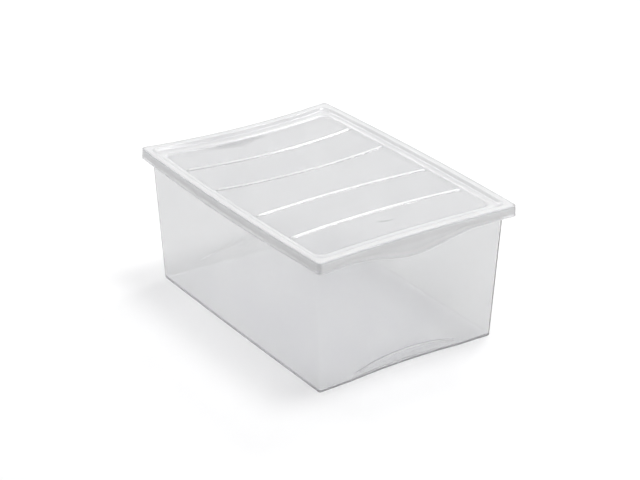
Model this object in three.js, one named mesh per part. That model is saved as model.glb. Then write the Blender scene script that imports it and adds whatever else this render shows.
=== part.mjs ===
// Clear moulded storage box with a lift-off lid, low enough to slide under a bed.
// Two thin-walled mouldings: a tapered tub with a flange round its mouth, and a lid
// whose skirt drops over the flange. Millimetres, +Z up, +X along the box's length,
// origin on the floor under the middle of the tub.
import * as THREE from 'three';

// ---- driving dimensions ------------------------------------------------------------
const TOP = 209;            // top of the lid's rim above the floor
const LID_HX = 236;         // lid, half length, measured at its corners
const LID_HY = 164;         // lid, half width, measured at its corners
const LID_R = 6;            // plan radius of the lid's corners
const END_HOLLOW = 9.5;     // each short end of the lid curves inward by this in the middle
const SIDE_BOW = 5.2;       // each long side of the lid curves outward by this in the middle
const DIP = 2.4;            // the lid and mouth sink by this halfway across their width
const SKIRT = 15.8;         // depth of the lid's skirt at the corners and along the ends
const SKIRT_EXTRA = 2.2;    // extra depth of the skirt in the middle of each long side
const TAB_DROP = 15.6;      // the skirt drops this much lower at each end, as a lifting tab
const TAB_HALF = 105;       // half width over which that tab fades out
const LID_T = 1.8;          // wall of the lid
const RECESS = 6.3;         // lid panel below the rim's top
const RIB_X_IN = 56.5;      // the inner pair of curved ribs, where they meet the long sides
const RIB_X_OUT = 141.4;    // the outer pair
const RIB_BOW_IN = 13.3;    // how far their middles bend towards the middle of the lid
const RIB_BOW_OUT = 15.3;
const RIB_H = 1.7;          // rib height above the panel
const RIB_FOOT = 4.8;       // half width of a rib at its foot
const RIB_CREST = 1.3;      // half width of a rib at its crest

const BASE_HX = 211;        // tub, half length at the floor
const BASE_HY = 146.5;      // tub, half width at the floor
const TAPER_X = 9.2 / 188;  // the end walls lean out by this per mm of height
const TAPER_Y = 7.5 / 188;  // the side walls lean out by this per mm of height
const TUB_R = 3.5;          // plan radius of the tub's corners at the floor
const TUB_T = 2.0;          // wall of the tub
const FLOOR_T = 2.4;        // floor of the tub
const BASE_HOLLOW = 3.3;    // inward curve of the end walls at the floor
const BASE_BOW = 1.3;       // outward curve of the side walls at the floor
const MOUTH_Z = TOP - 6.5;  // top of the tub's flange
const FLANGE_T = 1.9;
const LIP_Z = TOP - 13;     // bottom of the flange's turned-down lip
const SCOOP_HALF = 92;      // finger scoop low in each end wall: half width
const SCOOP_TOP = 23;       // height of its arched upper edge
const SCOOP_IN = 3.8;       // how far it goes in at the floor

// ---- plan outline ------------------------------------------------------------------
// Every outline has the same number of points: straight stretches with nodes at the
// fractions sx and sy, and corner arcs with nodes at 22.5, 45 and 67.5 degrees.
const COS = Math.cos(Math.PI / 8), SIN = Math.sin(Math.PI / 8), DIAG = Math.SQRT1_2;

function nodeXY(i, j, C, R, hx, hy, r, sx, sy) {
  const ax = hx - r, ay = hy - r;
  const edgeX = i === 0 || i === C - 1, edgeY = j === 0 || j === R - 1;
  const nearX = i <= 1 || i >= C - 2, nearY = j <= 1 || j >= R - 2;
  const gx = i < C / 2 ? -1 : 1, gy = j < R / 2 ? -1 : 1;
  if (edgeX && edgeY) return [gx * (ax + r * DIAG), gy * (ay + r * DIAG)];
  if (edgeX && nearY) return [gx * (ax + r * COS), gy * (ay + r * SIN)];
  if (edgeY && nearX) return [gx * (ax + r * SIN), gy * (ay + r * COS)];
  const x = edgeX ? gx * hx : nearX ? gx * (ax + 0.4 * r) : sx[i - 2] * ax;
  const y = edgeY ? gy * hy : nearY ? gy * (ay + 0.4 * r) : sy[j - 2] * ay;
  return [x, y];
}

function outlineIndices(C, R) {           // counter-clockwise seen from above
  const out = [];
  for (let i = 0; i < C; i++) out.push([i, 0]);
  for (let j = 1; j < R; j++) out.push([C - 1, j]);
  for (let i = C - 2; i >= 0; i--) out.push([i, R - 1]);
  for (let j = R - 2; j >= 1; j--) out.push([0, j]);
  return out;
}

// A closed skin: an upper cap, rings that run outward and down from it, and a lower cap.
function closedSkin({ sx, sy, rings, capHigh, capLow, warp }) {
  const C = sx.length + 4, R = sy.length + 4;
  const loop = outlineIndices(C, R), N = loop.length;
  const pos = [], index = [];
  const put = (x, y, z) => { pos.push(...warp(x, y, z)); return pos.length / 3 - 1; };
  const ids = rings.map((g) => loop.map(([i, j]) => {
    const [x0, y0] = nodeXY(i, j, C, R, g.hx, g.hy, g.r, sx, sy);
    const end = i === 0 || i === C - 1;
    const p = g.shape ? g.shape(x0, y0, end) : { z: g.z };
    return put(x0 - Math.sign(x0) * (p.push ?? 0), y0, p.z);
  }));
  for (let k = 0; k + 1 < ids.length; k++) {
    for (let n = 0; n < N; n++) {
      const m = (n + 1) % N, a = ids[k][n], b = ids[k][m], c = ids[k + 1][n], d = ids[k + 1][m];
      index.push(a, c, d, a, d, b);
    }
  }
  const cap = (g, ringIds, zAt, flip) => {
    const id = Array.from({ length: C }, () => new Array(R).fill(-1));
    loop.forEach(([i, j], n) => { id[i][j] = ringIds[n]; });
    for (let i = 1; i < C - 1; i++) for (let j = 1; j < R - 1; j++) {
      const [x, y] = nodeXY(i, j, C, R, g.hx, g.hy, g.r, sx, sy);
      const push = (g.shape ? g.shape(x, y, true).push ?? 0 : 0) * (x / g.hx) ** 6;
      id[i][j] = put(x - Math.sign(x) * push, y, zAt(x, y));
    }
    for (let i = 0; i < C - 1; i++) for (let j = 0; j < R - 1; j++) {
      const a = id[i][j], b = id[i + 1][j], c = id[i + 1][j + 1], d = id[i][j + 1];
      if (flip) index.push(a, c, b, a, d, c); else index.push(a, b, c, a, c, d);
    }
  };
  cap(rings[0], ids[0], capHigh, false);
  cap(rings[rings.length - 1], ids[ids.length - 1], capLow, true);
  const geo = new THREE.BufferGeometry();
  geo.setAttribute('position', new THREE.Float32BufferAttribute(pos, 3));
  geo.setIndex(index);
  geo.computeVertexNormals();
  return geo;
}

const acrossLid = (y) => Math.max(0, 1 - (y / LID_HY) ** 2);
const alongLid = (x) => Math.max(0, 1 - (x / LID_HX) ** 2);
const bump = (y, half) => (Math.abs(y) < half ? Math.cos((Math.PI * y) / (2 * half)) ** 2 : 0);

// ---- lid ---------------------------------------------------------------------------
// inward shift of a cross line at x: nothing in the middle, most at the ribs
function lidShift(x) {
  const knots = [[0, 0], [RIB_X_IN, RIB_BOW_IN], [RIB_X_OUT, RIB_BOW_OUT], [LID_HX, END_HOLLOW], [LID_HX + 5, END_HOLLOW]];
  const a = Math.abs(x);
  for (let k = 0; k + 1 < knots.length; k++) {
    const [x0, s0] = knots[k], [x1, s1] = knots[k + 1];
    if (a <= x1) return Math.sign(x) * (s0 + ((s1 - s0) * (a - x0)) / (x1 - x0));
  }
  return Math.sign(x) * END_HOLLOW;
}
const warpLid = (x, y, z) => [
  x - lidShift(x) * acrossLid(y),
  y + SIDE_BOW * alongLid(x) * (y / LID_HY),
  z - DIP * acrossLid(y),
];

function makeLid() {
  const panelHX = LID_HX - 31, panelHY = LID_HY - 23, panelR = 13;
  const ax = panelHX - panelR;
  const half = [28];
  for (const c of [RIB_X_IN, RIB_X_OUT]) half.push(c - RIB_FOOT, c - RIB_CREST, c + RIB_CREST, c + RIB_FOOT);
  half.splice(5, 0, 99);
  half.push(168, ax);
  const xs = [...half.map((v) => -v).reverse(), 0, ...half];
  const sx = xs.map((v) => v / ax);
  const sy = Array.from({ length: 13 }, (_, k) => -1 + k / 6);
  const ring = (e, s, d, r) => ({ hx: LID_HX - e, hy: LID_HY - s, r, z: TOP - d });
  const foot = (inset, r) => ({
    hx: LID_HX - inset, hy: LID_HY - inset, r,
    shape: (x, y, end) => ({ z: TOP - SKIRT - (end ? TAB_DROP * bump(y, TAB_HALF) : SKIRT_EXTRA * alongLid(x) ** 2) }),
  });
  const rings = [
    ring(31, 23, RECESS, panelR),             // edge of the panel
    ring(27, 19.5, 4.7, 13.4),                // ledge round the panel
    ring(16, 13.4, 4.3, 13.2),
    ring(14.6, 12.2, 3.7, 13),                // slope up to the rim
    ring(11.2, 9.2, 0.6, 12),
    ring(10, 8, 0, 11.6),                     // flat top of the rim
    ring(2.4, 2.4, 0, LID_R - 1.0),
    ring(0.8, 0.8, 0.7, LID_R - 0.4),
    ring(0.1, 0.1, 2.4, LID_R),
    foot(-0.6, LID_R + 0.6),                  // foot of the skirt
    foot(1.0, LID_R - 0.8),
    ring(1.8, 1.8, 3.4, LID_R - 1.4),         // inside of the skirt
    ring(3.0, 3.0, LID_T + 0.1, LID_R - 2.0),
    ring(8.8, 6.9, LID_T + 0.1, 9),
    ring(12.4, 10.2, 5.2, 11),
    ring(14.2, 12.0, 6.1, 12),
    ring(26.4, 18.9, 6.5, 13.2),
    ring(31, 23, RECESS + LID_T, panelR),     // underside of the panel
  ];
  const onCrest = (x) => [RIB_X_IN, RIB_X_OUT].some((c) => Math.abs(Math.abs(x) - c) < RIB_CREST + 0.05);
  const geo = closedSkin({
    sx, sy, rings, warp: warpLid,
    capHigh: (x, y) => TOP - RECESS + (onCrest(x) ? RIB_H : 0),
    capLow: () => TOP - RECESS - LID_T,
  });
  const lid = new THREE.Mesh(geo, new THREE.MeshStandardMaterial({
    color: 0xe4e7ec, roughness: 0.22, metalness: 0, transparent: true, opacity: 0.45 }));
  lid.name = 'lid';
  return lid;
}

// ---- tub ---------------------------------------------------------------------------
const up = (z) => Math.min(1, Math.max(0, z / MOUTH_Z));
const warpTub = (x, y, z) => {
  const hollow = BASE_HOLLOW + (END_HOLLOW - BASE_HOLLOW) * up(z);
  const bow = BASE_BOW + (SIDE_BOW - BASE_BOW) * up(z);
  return [
    x - hollow * (x / LID_HX) * acrossLid(y),
    y + bow * alongLid(x) * (y / LID_HY),
    z - DIP * acrossLid(y) * Math.min(1, Math.max(0, (z - 100) / 95)),
  ];
};

function makeTub() {
  const sx = Array.from({ length: 11 }, (_, k) => -1 + k / 5);
  const sy = Array.from({ length: 17 }, (_, k) => -1 + k / 8);
  const scoop = (y) => Math.max(0, 1 - (y / SCOOP_HALF) ** 2);
  // a ring on the wall, o mm inside its outer face at height z
  const wall = (z, o, push = 0) => ({
    hx: BASE_HX + TAPER_X * z - o, hy: BASE_HY + TAPER_Y * z - o,
    r: TUB_R + 0.005 * z - 0.6 * Math.min(o, TUB_T),
    shape: (x, y, end) => ({ z, push: end ? push * scoop(y) : 0 }),
  });
  // the same, following the arched upper edge of the finger scoop
  const arch = (lift, drop, o, push) => {
    const g = wall(lift, o);
    g.shape = (x, y, end) => {
      const s = end ? scoop(y) : 0;
      return { z: lift + (SCOOP_TOP - 10) * s - drop * s, push: push * s - TAPER_X * 13 * s };
    };
    return g;
  };
  const mouth = (inset, z, r) => ({ hx: LID_HX - inset, hy: LID_HY - inset, r, z });
  const rings = [
    wall(FLOOR_T, TUB_T + 4.4, SCOOP_IN),            // inside, from the floor up
    wall(FLOOR_T + 0.8, TUB_T + 2.0, SCOOP_IN),
    wall(FLOOR_T + 2.6, TUB_T + 0.5, SCOOP_IN),
    wall(7.4, TUB_T, SCOOP_IN),
    arch(9.7, 1.0, TUB_T, 3.0),
    arch(11.2, 0, TUB_T, 0),
    wall(100, TUB_T),
    wall(195, TUB_T),
    wall(MOUTH_Z - 0.8, TUB_T),
    wall(MOUTH_Z, TUB_T - 0.9),                      // flange round the mouth
    mouth(3.6, MOUTH_Z, 5.4),
    mouth(2.8, MOUTH_Z - 0.8, 6.0),
    mouth(2.6, LIP_Z, 6.2),
    mouth(4.2, LIP_Z, 4.8),
    mouth(4.4, MOUTH_Z - FLANGE_T, 4.6),
    wall(MOUTH_Z - FLANGE_T, -0.9),
    wall(MOUTH_Z - FLANGE_T - 1.0, 0),
    wall(195 - 2, 0),
    wall(100, 0),                                    // outside, down to the floor
    arch(10, 0, 0, 0),
    arch(8.5, 1.0, 0, 3.0),
    wall(3.0, 0.1, SCOOP_IN),
    wall(0.8, 0.8, SCOOP_IN),
    wall(0, 3.0, SCOOP_IN),
  ];
  const geo = closedSkin({ sx, sy, rings, warp: warpTub, capHigh: () => FLOOR_T, capLow: () => 0 });
  const tub = new THREE.Mesh(geo, new THREE.MeshStandardMaterial({
    color: 0xe0e3e9, roughness: 0.2, metalness: 0, transparent: true, opacity: 0.4 }));
  tub.name = 'tub';
  return tub;
}

const box = new THREE.Group();
box.add(makeTub());
box.add(makeLid());
export default box;
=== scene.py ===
import math

import bpy
import numpy as np
from mathutils import Matrix, Vector


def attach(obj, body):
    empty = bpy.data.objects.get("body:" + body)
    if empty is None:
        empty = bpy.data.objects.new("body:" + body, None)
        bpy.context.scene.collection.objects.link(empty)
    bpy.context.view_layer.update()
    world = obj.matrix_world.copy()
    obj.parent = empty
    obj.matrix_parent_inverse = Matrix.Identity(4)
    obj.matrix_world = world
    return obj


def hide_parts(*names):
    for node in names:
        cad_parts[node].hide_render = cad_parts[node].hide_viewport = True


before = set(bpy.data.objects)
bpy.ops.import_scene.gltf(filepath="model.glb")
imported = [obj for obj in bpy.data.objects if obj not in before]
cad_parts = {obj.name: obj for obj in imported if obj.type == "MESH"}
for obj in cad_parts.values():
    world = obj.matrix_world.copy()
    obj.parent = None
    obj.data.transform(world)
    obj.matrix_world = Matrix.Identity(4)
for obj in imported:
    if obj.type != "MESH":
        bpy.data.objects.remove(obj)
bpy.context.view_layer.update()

# ======================================================================================
# Driving dimensions in millimetres, the same as the CAD model's
# ======================================================================================
TOP = 209.0
LID_HX, LID_HY, LID_R = 236.0, 164.0, 6.0
END_HOLLOW, SIDE_BOW, DIP = 9.5, 5.2, 2.4
SKIRT, SKIRT_EXTRA, TAB_DROP, TAB_HALF = 15.8, 2.2, 15.6, 105.0
LID_T, RECESS = 1.8, 6.3
RIB_X_IN, RIB_X_OUT, RIB_BOW_IN, RIB_BOW_OUT = 56.5, 141.4, 13.3, 15.3
RIB_H, RIB_FOOT = 1.7, 4.8
BASE_HX, BASE_HY, TAPER_X, TAPER_Y = 211.0, 146.5, 9.2 / 188, 7.5 / 188
TUB_R, TUB_T, FLOOR_T, BASE_HOLLOW, BASE_BOW = 3.5, 2.0, 2.4, 3.3, 1.3
MOUTH_Z, FLANGE_T, LIP_Z = TOP - 6.5, 1.9, TOP - 13.0
SCOOP_HALF, SCOOP_TOP, SCOOP_IN = 92.0, 23.0, 3.8


# ======================================================================================
# Mesh building: rings of nodes on a rounded outline, closed by two gridded caps
# ======================================================================================
def across(y):
    return np.maximum(0.0, 1 - (y / LID_HY) ** 2)


def along(x):
    return np.maximum(0.0, 1 - (x / LID_HX) ** 2)


def bump_fn(y, half):
    return np.where(np.abs(y) < half, np.cos(np.pi * y / (2 * half)) ** 2, 0.0)


def axis_nodes(straight, corner):
    """Nodes along one axis: (s, p) pairs. s runs -1..1 over the straight part, p is how far into a corner."""
    s = [-1.0] * len(corner) + list(straight) + [1.0] * len(corner)
    p = [-c for c in reversed(corner)] + [0.0] * len(straight) + list(corner)
    return np.array(s), np.array(p)


def place(g, sx, px, sy, py):
    """Unwarped x, y for node fractions on an outline with half sizes hx, hy and corner radius r."""
    r = g["r"]
    p, q = np.abs(px), np.abs(py)
    pp, qq = p * np.sqrt(1 - q * q / 2), q * np.sqrt(1 - p * p / 2)
    x = sx * (g["hx"] - r) + np.sign(px) * pp * r
    y = sy * (g["hy"] - r) + np.sign(py) * qq * r
    return x, y


def skin(name, xs, ys, rings, cap_high, cap_low, warp):
    (SX, PX), (SY, PY) = xs, ys
    C, R = len(SX), len(SY)
    loop = ([(i, 0) for i in range(C)] + [(C - 1, j) for j in range(1, R)]
            + [(i, R - 1) for i in range(C - 2, -1, -1)] + [(0, j) for j in range(R - 2, 0, -1)])
    li = np.array([a for a, _ in loop]); lj = np.array([b for _, b in loop])
    end = (li == 0) | (li == C - 1)
    N = len(loop)
    verts, faces, milk, edge_shade_weights = [], [], [], []
    count = 0
    ids = []
    for g in rings:
        x, y = place(g, SX[li], PX[li], SY[lj], PY[lj])
        z, push = g["shape"](x, y, end)
        x = x - np.sign(x) * push
        verts.append(np.stack(warp(x, y, z), 1))
        milk.append(g["milk"] + g.get("bead", 0.0) * np.where(end, np.maximum(0, 1 - (y / SCOOP_HALF) ** 2), 0.0))
        # painted shade: rings weighted for rim or corner darkening get a darker base colour in the material, standing
        # in for the dark refracted outlines of clear plastic
        at_corner = np.clip(np.minimum(np.abs(PX[li]), np.abs(PY[lj])) / 0.6, 0, 1)
        edge_shade_weights.append(np.maximum(g.get("edge", 0.0), g.get("corner", 0.0) * at_corner))
        ids.append(np.arange(count, count + N)); count += N
    for a, b in zip(ids, ids[1:]):
        a2, b2 = np.roll(a, -1), np.roll(b, -1)
        faces.append(np.stack([a, b, b2, a2], 1))
    for g, ring_ids, z_at, flip in ((rings[0], ids[0], cap_high, False), (rings[-1], ids[-1], cap_low, True)):
        grid = np.full((C, R), -1)
        grid[li, lj] = ring_ids
        ii, jj = np.meshgrid(np.arange(1, C - 1), np.arange(1, R - 1), indexing="ij")
        ii, jj = ii.ravel(), jj.ravel()
        x, y = place(g, SX[ii], PX[ii], SY[jj], PY[jj])
        _, push = g["shape"](x, y, np.ones(len(x), bool))
        push = push * (np.abs(x) / g["hx"]) ** 6
        x = x - np.sign(x) * push
        verts.append(np.stack(warp(x, y, z_at(x, y)), 1))
        milk.append(g["cap_milk"](x, y) if "cap_milk" in g and not flip else np.full(len(x), g["milk"]))
        edge_shade_weights.append(np.zeros(len(x)))
        grid[ii, jj] = np.arange(count, count + len(ii)); count += len(ii)
        a, b, c, d = grid[:-1, :-1].ravel(), grid[1:, :-1].ravel(), grid[1:, 1:].ravel(), grid[:-1, 1:].ravel()
        faces.append(np.stack([a, d, c, b] if flip else [a, b, c, d], 1))
    V = np.concatenate(verts) * 0.001
    F = np.concatenate(faces)
    me = bpy.data.meshes.new(name)
    me.from_pydata(V.tolist(), [], F.tolist())
    me.validate()
    me.polygons.foreach_set("use_smooth", [True] * len(me.polygons))
    me.attributes.new("milk", "FLOAT", "POINT").data.foreach_set("value", np.concatenate(milk))
    me.attributes.new("edge", "FLOAT", "POINT").data.foreach_set("value", np.concatenate(edge_shade_weights))
    me.update()
    ob = bpy.data.objects.new(name, me)
    bpy.context.scene.collection.objects.link(ob)
    return ob


def rounded(points, keys, steps=4):
    """Replaces each profile corner by a curve. points are dicts with the keys, and an optional round in mm."""
    P = np.array([[p.get(k, 0.0) for k in keys] for p in points], float)
    out = [P[0]]
    for k in range(1, len(P) - 1):
        rho = points[k].get("round", 0)
        a, b, c = P[k - 1], P[k], P[k + 1]
        la, lc = np.linalg.norm((a - b)[:3]), np.linalg.norm((c - b)[:3])
        if rho <= 0:
            out.append(b)
            continue
        ra, rc = min(rho, 0.49 * la), min(rho, 0.49 * lc)
        p0, p1 = b + (a - b) * (ra / la), b + (c - b) * (rc / lc)
        n = points[k].get("steps", steps)
        for t in np.linspace(0, 1, n + 1):
            out.append((1 - t) ** 2 * p0 + 2 * t * (1 - t) * b + t * t * p1)
    out.append(P[-1])
    return [dict(zip(keys, row)) for row in out]


# ======================================================================================
# Lid
# ======================================================================================
def lid_shift(x):
    kx = [0, RIB_X_IN, RIB_X_OUT, LID_HX, LID_HX + 50]
    ks = [0, RIB_BOW_IN, RIB_BOW_OUT, END_HOLLOW, END_HOLLOW]
    return np.sign(x) * np.interp(np.abs(x), kx, ks)


def warp_lid(x, y, z):
    return (x - lid_shift(x) * across(y), y + SIDE_BOW * along(x) * (y / LID_HY), z - DIP * across(y))


def rib_height(x, y, hy):
    h = np.zeros_like(x)
    for c in (RIB_X_IN, RIB_X_OUT):
        t = np.clip((np.abs(x) - c) / RIB_FOOT, -1, 1)
        h = np.maximum(h, RIB_H * (0.5 + 0.5 * np.cos(np.pi * t)))
    fade = np.clip((hy - 0.5 - np.abs(y)) / 5.0, 0, 1)
    return h * fade * fade * (3 - 2 * fade)


def make_lid():
    hx, hy, r = LID_HX - 31, LID_HY - 23, 13.0
    ax, ay = hx - r, hy - r
    half = [0.0, 7, 14, 21, 28, 35, 42, 48]
    for c, after in ((RIB_X_IN, [64, 72, 80, 89, 99, 109, 118, 127, 134]), (RIB_X_OUT, [149, 153])):
        half += list(c + RIB_FOOT * np.linspace(-1, 1, 17)) + after
    half += list(np.linspace(156, 184, 20)) + [188, ax]
    half = sorted(set(round(v, 3) for v in half))
    straight_x = np.array([-v for v in reversed(half[1:])] + half) / ax
    dense = list(np.linspace(0, 12, 11)) + list(np.linspace(12, ay - 12, 15))[1:] + list(np.linspace(ay - 12, ay, 7))[1:]
    straight_y = np.array([-v for v in reversed(dense[1:])] + dense) / ay
    corner = [0.2, 0.4, 0.6, 0.8, 1.0]
    K = ("e", "s", "d", "r", "f", "milk", "edge", "corner")
    prof = [
        dict(e=31, s=23, d=RECESS, r=r, f=0, milk=0.0),
        dict(e=29, s=21.3, d=5.9, r=13.2, f=0, round=2.0, milk=0.35),
        dict(e=26.5, s=19.3, d=4.6, r=13.4, f=0, round=2.5, milk=0.7),
        dict(e=15.6, s=13.0, d=4.25, r=13.2, f=0, round=1.6, milk=0.4),
        dict(e=11.2, s=9.2, d=0.2, r=12, f=0, round=1.2, milk=0.5),
        dict(e=10.2, s=8.2, d=0, r=11.7, f=0, round=0.5, milk=1.0),
        dict(e=5.4, s=4.8, d=0.12, r=8.2, f=0, round=1.5, milk=1.0),
        dict(e=2.6, s=2.5, d=0.05, r=7.0, f=0, milk=0.9),
        # painted shade: the rim fillet ring and the skirt corner rings below carry darkening weights that paint dark
        # outlines into the colour; the plastic itself is not darker there
        dict(e=0.1, s=0.1, d=0, r=LID_R, f=0, round=1.9, steps=7, milk=0.45, edge=0.6, corner=0.4),
        dict(e=0.0, s=0.0, d=3.0, r=LID_R, f=0, milk=0.75, edge=0.0, corner=0.4),
        dict(e=-0.25, s=-0.25, d=8, r=LID_R + 0.25, f=0.35, milk=0.75, corner=0.4),
        dict(e=-0.58, s=-0.58, d=SKIRT, r=LID_R + 0.6, f=1, round=0.6, milk=0.2, corner=0.4),
        dict(e=1.0, s=1.0, d=SKIRT, r=LID_R - 0.8, f=1, round=0.6, milk=0.2),
        dict(e=1.4, s=1.4, d=8, r=LID_R - 1.0, f=0.35, milk=0.6),
        dict(e=1.8, s=1.8, d=1.9, r=LID_R - 1.6, f=0, round=1.3, milk=1.0),
        dict(e=9.2, s=7.3, d=1.9, r=9.2, f=0, round=1.0, milk=0.6),
        dict(e=13.6, s=11.2, d=6.0, r=11.8, f=0, round=1.2, milk=0.4),
        dict(e=26.4, s=18.9, d=6.5, r=13.2, f=0, round=2.5, milk=0.7),
        dict(e=29, s=21.3, d=7.7, r=13.2, f=0, round=2.0, milk=0.35),
        dict(e=31, s=23, d=RECESS + LID_T, r=r, f=0, milk=0.0),
    ]

    def ring(q):
        def shape(x, y, end):
            drop = np.where(end, TAB_DROP * bump_fn(y, TAB_HALF), SKIRT_EXTRA * along(x) ** 2)
            return TOP - 0.02 - q["d"] - q["f"] * drop, np.zeros_like(x)
        return dict(hx=LID_HX - q["e"], hy=LID_HY - q["s"], r=q["r"], shape=shape, milk=q["milk"], edge=q["edge"], corner=q["corner"])

    rings = [ring(q) for q in rounded(prof, K)]
    rings[0]["cap_milk"] = lambda x, y: 1.3 * rib_height(x, y, hy) / RIB_H

    def high(x, y):
        boss = np.clip(1.35 - np.hypot((np.abs(x - 169.0)) / 5.2, y / 10.5), 0, 0.35) / 0.35
        return TOP - RECESS + rib_height(x, y, hy) + 0.45 * boss * boss * (3 - 2 * boss)

    def low(x, y):
        return np.full_like(x, TOP - RECESS - LID_T)

    return skin("lid_moulding", axis_nodes(straight_x, corner), axis_nodes(straight_y, corner), rings, high, low, warp_lid)


# ======================================================================================
# Tub
# ======================================================================================
def warp_tub(x, y, z):
    u = np.clip(z / MOUTH_Z, 0, 1)
    hollow = BASE_HOLLOW + (END_HOLLOW - BASE_HOLLOW) * u
    bow = BASE_BOW + (SIDE_BOW - BASE_BOW) * u
    return (x - hollow * (x / LID_HX) * across(y), y + bow * along(x) * (y / LID_HY),
            z - DIP * across(y) * np.clip((z - 100) / 95, 0, 1))


def make_tub():
    K = ("z", "ox", "oy", "r", "push", "arch", "milk", "bead")

    def wall(z, o, push=0.0, arch=0.0, **more):
        more.setdefault("milk", 0.0)
        return dict(z=z, ox=o, oy=o, r=TUB_R + 0.005 * z - 0.6 * min(o, TUB_T), push=push, arch=arch, **more)

    def mouth(inset, z, r, **more):
        return dict(z=z, ox=BASE_HX + TAPER_X * z - (LID_HX - inset), oy=BASE_HY + TAPER_Y * z - (LID_HY - inset),
                    r=r, push=0.0, arch=0.0, milk=1.0, **more)

    lean = TAPER_X * 13
    prof = [
        wall(FLOOR_T, TUB_T + 6.0, SCOOP_IN, milk=0.25),
        wall(FLOOR_T, TUB_T, SCOOP_IN, round=4.2, steps=7),
        wall(9.7, TUB_T, 3.0 - lean, arch=12.0, round=1.2),
        wall(11.2, TUB_T, -lean, arch=13.0, round=1.6),
        wall(40, TUB_T), wall(70, TUB_T), wall(100, TUB_T), wall(130, TUB_T), wall(160, TUB_T), wall(185, TUB_T),
        wall(MOUTH_Z, TUB_T, round=1.2, milk=1.0),
        mouth(2.8, MOUTH_Z, 6.0, round=1.2),
        mouth(2.6, LIP_Z, 6.2, round=0.5),
        mouth(4.2, LIP_Z, 4.8, round=0.5),
        mouth(4.4, MOUTH_Z - FLANGE_T, 4.6, round=0.8),
        wall(MOUTH_Z - FLANGE_T, 0, round=1.2, milk=1.0),
        wall(185, 0), wall(160, 0), wall(130, 0), wall(100, 0), wall(70, 0), wall(40, 0),
        wall(12.2, 0, -lean, arch=13.0, round=0.5, bead=0.4),
        wall(11.0, 0, -lean - 0.9, arch=13.0, round=0.5, bead=2.4),
        wall(10.2, 0, -lean - 0.9, arch=12.8, round=0.4, bead=2.4),
        wall(9.4, 0, -lean, arch=12.5, round=0.4, bead=0.4),
        wall(8.5, 0, 3.0 - lean, arch=12.0, round=1.2),
        wall(0, 0, SCOOP_IN, round=2.6, steps=6),
        wall(0, 5.0, SCOOP_IN),
    ]

    def ring(q):
        def shape(x, y, end):
            s = np.where(end, np.maximum(0, 1 - (y / SCOOP_HALF) ** 2), 0.0)
            return q["z"] + q["arch"] * s, q["push"] * s
        return dict(hx=BASE_HX + TAPER_X * q["z"] - q["ox"], hy=BASE_HY + TAPER_Y * q["z"] - q["oy"], r=q["r"], shape=shape, milk=q["milk"], bead=q["bead"])

    rings = [ring(q) for q in rounded(prof, K)]
    straight_x = np.linspace(-1, 1, 57)
    straight_y = np.linspace(-1, 1, 73)
    corner = [0.2, 0.4, 0.6, 0.8, 1.0]
    return skin("tub_moulding", axis_nodes(straight_x, corner), axis_nodes(straight_y, corner), rings,
                lambda x, y: np.full_like(x, FLOOR_T), lambda x, y: np.zeros_like(x), warp_tub)


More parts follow.
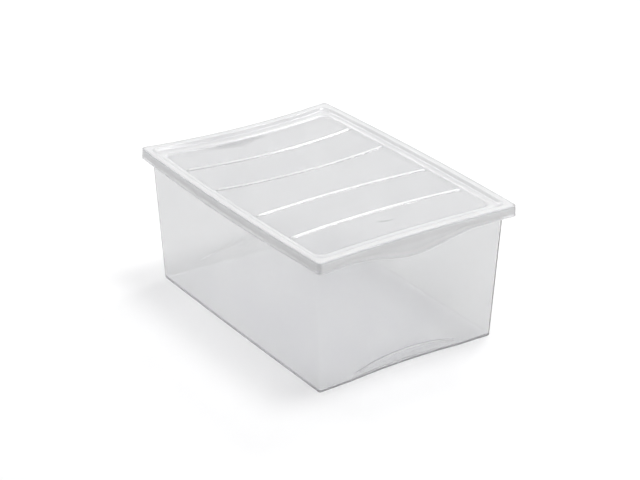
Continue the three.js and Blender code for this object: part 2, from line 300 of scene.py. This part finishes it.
# ======================================================================================
# Materials
# ======================================================================================
def clear_plastic(name, tint, tint2, rough, haze, see, see_thick, bump, shadow):
    """Clear moulded polypropylene: slightly uneven haze, flow marks and fine scuffs, plus painted shade that darkens
    the colour at rim fillets and corners. see is how much of it is clear.
    """
    m = bpy.data.materials.new(name)
    m.use_nodes = True
    nt = m.node_tree
    nt.nodes.clear()
    N, L = nt.nodes.new, nt.links.new
    out = N("ShaderNodeOutputMaterial")
    bsdf = N("ShaderNodeBsdfPrincipled")
    bsdf.inputs["IOR"].default_value = 1.49
    thick = N("ShaderNodeAttribute")
    thick.attribute_name = "milk"
    ms_ = N("ShaderNodeMapRange")
    ms_.inputs["To Min"].default_value = see
    ms_.inputs["To Max"].default_value = see_thick
    ms_.clamp = False
    L(thick.outputs["Fac"], ms_.inputs["Value"])
    L(ms_.outputs["Result"], bsdf.inputs["Transmission Weight"])
    geo = N("ShaderNodeTexCoord")

    def noise(scale, detail, rough_, stretch=(1, 1, 1)):
        mp = N("ShaderNodeMapping")
        mp.inputs["Scale"].default_value = stretch
        L(geo.outputs["Object"], mp.inputs["Vector"])
        n = N("ShaderNodeTexNoise")
        n.inputs["Scale"].default_value = scale
        n.inputs["Detail"].default_value = detail
        n.inputs["Roughness"].default_value = rough_
        L(mp.outputs["Vector"], n.inputs["Vector"])
        return n

    def ranged(n, lo, hi, a=0.35, b=0.65):
        r = N("ShaderNodeMapRange")
        r.inputs["From Min"].default_value = a
        r.inputs["From Max"].default_value = b
        r.inputs["To Min"].default_value = lo
        r.inputs["To Max"].default_value = hi
        L(n.outputs["Fac"], r.inputs["Value"])
        return r.outputs["Result"]

    cloud = noise(9, 3, 0.5)
    mix = N("ShaderNodeMix")
    mix.data_type = "RGBA"
    mix.inputs[6].default_value = (*tint, 1)
    mix.inputs[7].default_value = (*tint2, 1)
    L(ranged(cloud, 0, 1), mix.inputs[0])
    # painted shade: mixes the base colour towards dark grey (0.40) where the rim and corner darkening weights are set,
    # in place of the darkening that refraction gives at the outlines
    edge_shade_attr = N("ShaderNodeAttribute")
    edge_shade_attr.attribute_name = "edge"
    edge_shade_mix = N("ShaderNodeMix")
    edge_shade_mix.data_type = "RGBA"
    edge_shade_mix.inputs[7].default_value = (0.40, 0.405, 0.42, 1)
    L(edge_shade_attr.outputs["Fac"], edge_shade_mix.inputs[0])
    L(mix.outputs[2], edge_shade_mix.inputs[6])
    L(edge_shade_mix.outputs[2], bsdf.inputs["Base Color"])
    scuff = noise(60, 6, 0.6, (1, 1, 0.35))
    L(ranged(scuff, rough, haze), bsdf.inputs["Roughness"])
    flow = noise(14, 2, 0.4, (1, 1, 0.5))
    fine = noise(420, 2, 0.5)
    b1 = N("ShaderNodeBump")
    b1.inputs["Strength"].default_value = bump[0]
    b1.inputs["Distance"].default_value = 0.004
    L(flow.outputs["Fac"], b1.inputs["Height"])
    b2 = N("ShaderNodeBump")
    b2.inputs["Strength"].default_value = bump[1]
    b2.inputs["Distance"].default_value = 0.0004
    L(fine.outputs["Fac"], b2.inputs["Height"])
    L(b1.outputs["Normal"], b2.inputs["Normal"])
    L(b2.outputs["Normal"], bsdf.inputs["Normal"])
    lp = N("ShaderNodeLightPath")
    clear = N("ShaderNodeBsdfTransparent")
    clear.inputs["Color"].default_value = (*shadow, 1)
    ms = N("ShaderNodeMixShader")
    L(lp.outputs["Is Shadow Ray"], ms.inputs[0])
    L(bsdf.outputs["BSDF"], ms.inputs[1])
    L(clear.outputs["BSDF"], ms.inputs[2])
    L(ms.outputs["Shader"], out.inputs["Surface"])
    return m


tub_mat = clear_plastic("tub_polypropylene", (0.880, 0.881, 0.884), (0.853, 0.855, 0.860), 0.05, 0.11, 0.90, 0.62, (0.05, 0.015), (0.73, 0.73, 0.735))
lid_mat = clear_plastic("lid_polypropylene", (0.868, 0.869, 0.873), (0.842, 0.844, 0.850), 0.07, 0.13, 0.84, 0.34, (0.05, 0.015), (0.73, 0.73, 0.735))

tub = make_tub()
lid = make_lid()
tub.data.materials.append(tub_mat)
lid.data.materials.append(lid_mat)
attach(tub, "tub")
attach(lid, "lid")
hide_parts("tub")
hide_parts("lid")

# ======================================================================================
# Floor, light, camera
# ======================================================================================
scene = bpy.context.scene
scene.view_settings.view_transform = "Standard"
scene.view_settings.look = "None"
scene.view_settings.exposure = 0.0
scene.view_settings.gamma = 1.0

fm = bpy.data.meshes.new("studio_floor")
S = 9.0
n = 12
gx = np.linspace(-S, S, n + 1)
fm.from_pydata([(float(a), float(b), -0.0002) for b in gx for a in gx], [],
               [(j * (n + 1) + i, j * (n + 1) + i + 1, (j + 1) * (n + 1) + i + 1, (j + 1) * (n + 1) + i) for j in range(n) for i in range(n)])
floor = bpy.data.objects.new("studio_floor", fm)
scene.collection.objects.link(floor)
mf = bpy.data.materials.new("studio_floor")
mf.use_nodes = True
fb = mf.node_tree.nodes["Principled BSDF"]
fb.inputs["Base Color"].default_value = (0.93, 0.93, 0.93, 1)
fb.inputs["Roughness"].default_value = 0.9
fb.inputs["Specular IOR Level"].default_value = 0.2
fm.materials.append(mf)

world = bpy.data.worlds.new("studio")
scene.world = world
world.use_nodes = True
wn = world.node_tree
wn.nodes.clear()
wo = wn.nodes.new("ShaderNodeOutputWorld")
bg = wn.nodes.new("ShaderNodeBackground")
tc = wn.nodes.new("ShaderNodeTexCoord")
sep = wn.nodes.new("ShaderNodeSeparateXYZ")
ramp = wn.nodes.new("ShaderNodeValToRGB")
wn.links.new(tc.outputs["Generated"], sep.inputs["Vector"])
wn.links.new(sep.outputs["Z"], ramp.inputs["Fac"])
ramp.color_ramp.elements[0].position = 0.0
ramp.color_ramp.elements[0].color = (0.45, 0.45, 0.455, 1)
ramp.color_ramp.elements[1].position = 0.35
ramp.color_ramp.elements[1].color = (0.95, 0.95, 0.955, 1)
wn.links.new(ramp.outputs["Color"], bg.inputs["Color"])
bg.inputs["Strength"].default_value = 0.54
wn.links.new(bg.outputs["Background"], wo.inputs["Surface"])


def area(name, loc, target, size, power, size_y=None):
    ld = bpy.data.lights.new(name, "AREA")
    ld.shape = "RECTANGLE"
    ld.size = size
    ld.size_y = size_y or size
    ld.energy = power
    ob = bpy.data.objects.new(name, ld)
    ob.location = loc
    ob.rotation_euler = (Vector(target) - Vector(loc)).to_track_quat("-Z", "Y").to_euler()
    scene.collection.objects.link(ob)
    return ob


area("key_softbox", (0.36, 0.62, 3.25), (0, 0, 0.1), 1.1, 45)
area("rib_softbox", (-0.91, 2.02, 3.08), (0, 0, 0.2), 0.9, 23, 0.74)
area("fill_softbox", (2.3, -0.3, 1.4), (0, 0, 0.1), 1.0, 5.8)
area("edge_softbox", (-1.95, -0.30, 1.7), (0, 0, 0.0), 0.55, 12.5, 0.8)

# the camera that the box's edges were fitted with
AZ, EL, ROLL = 0.978888, 0.444957, -0.00127738
FOCAL_PX, TX, TY, DIST, UNIT = 1842.338, -0.0107329, 0.2942911, 8.2735525, 0.328
ca, sa, ce, se = math.cos(AZ), math.sin(AZ), math.cos(EL), math.sin(EL)
back = Vector((sa * ce, -ca * ce, se))
right = Vector((ca, sa, 0.0))
upv = back.cross(right)
cr, sr = math.cos(ROLL), math.sin(ROLL)
right, upv = right * cr + upv * sr, upv * cr - right * sr
cam_data = bpy.data.cameras.new("camera")
cam_data.sensor_width = 36.0
cam_data.lens = FOCAL_PX * 36.0 / 640.0
cam_data.clip_start = 0.05
cam_data.clip_end = 60
cam = bpy.data.objects.new("camera", cam_data)
loc = (right * TX + upv * TY + back * DIST) * UNIT
cam.matrix_world = Matrix(((right.x, upv.x, back.x, loc.x), (right.y, upv.y, back.y, loc.y), (right.z, upv.z, back.z, loc.z), (0, 0, 0, 1)))
scene.collection.objects.link(cam)
scene.camera = cam
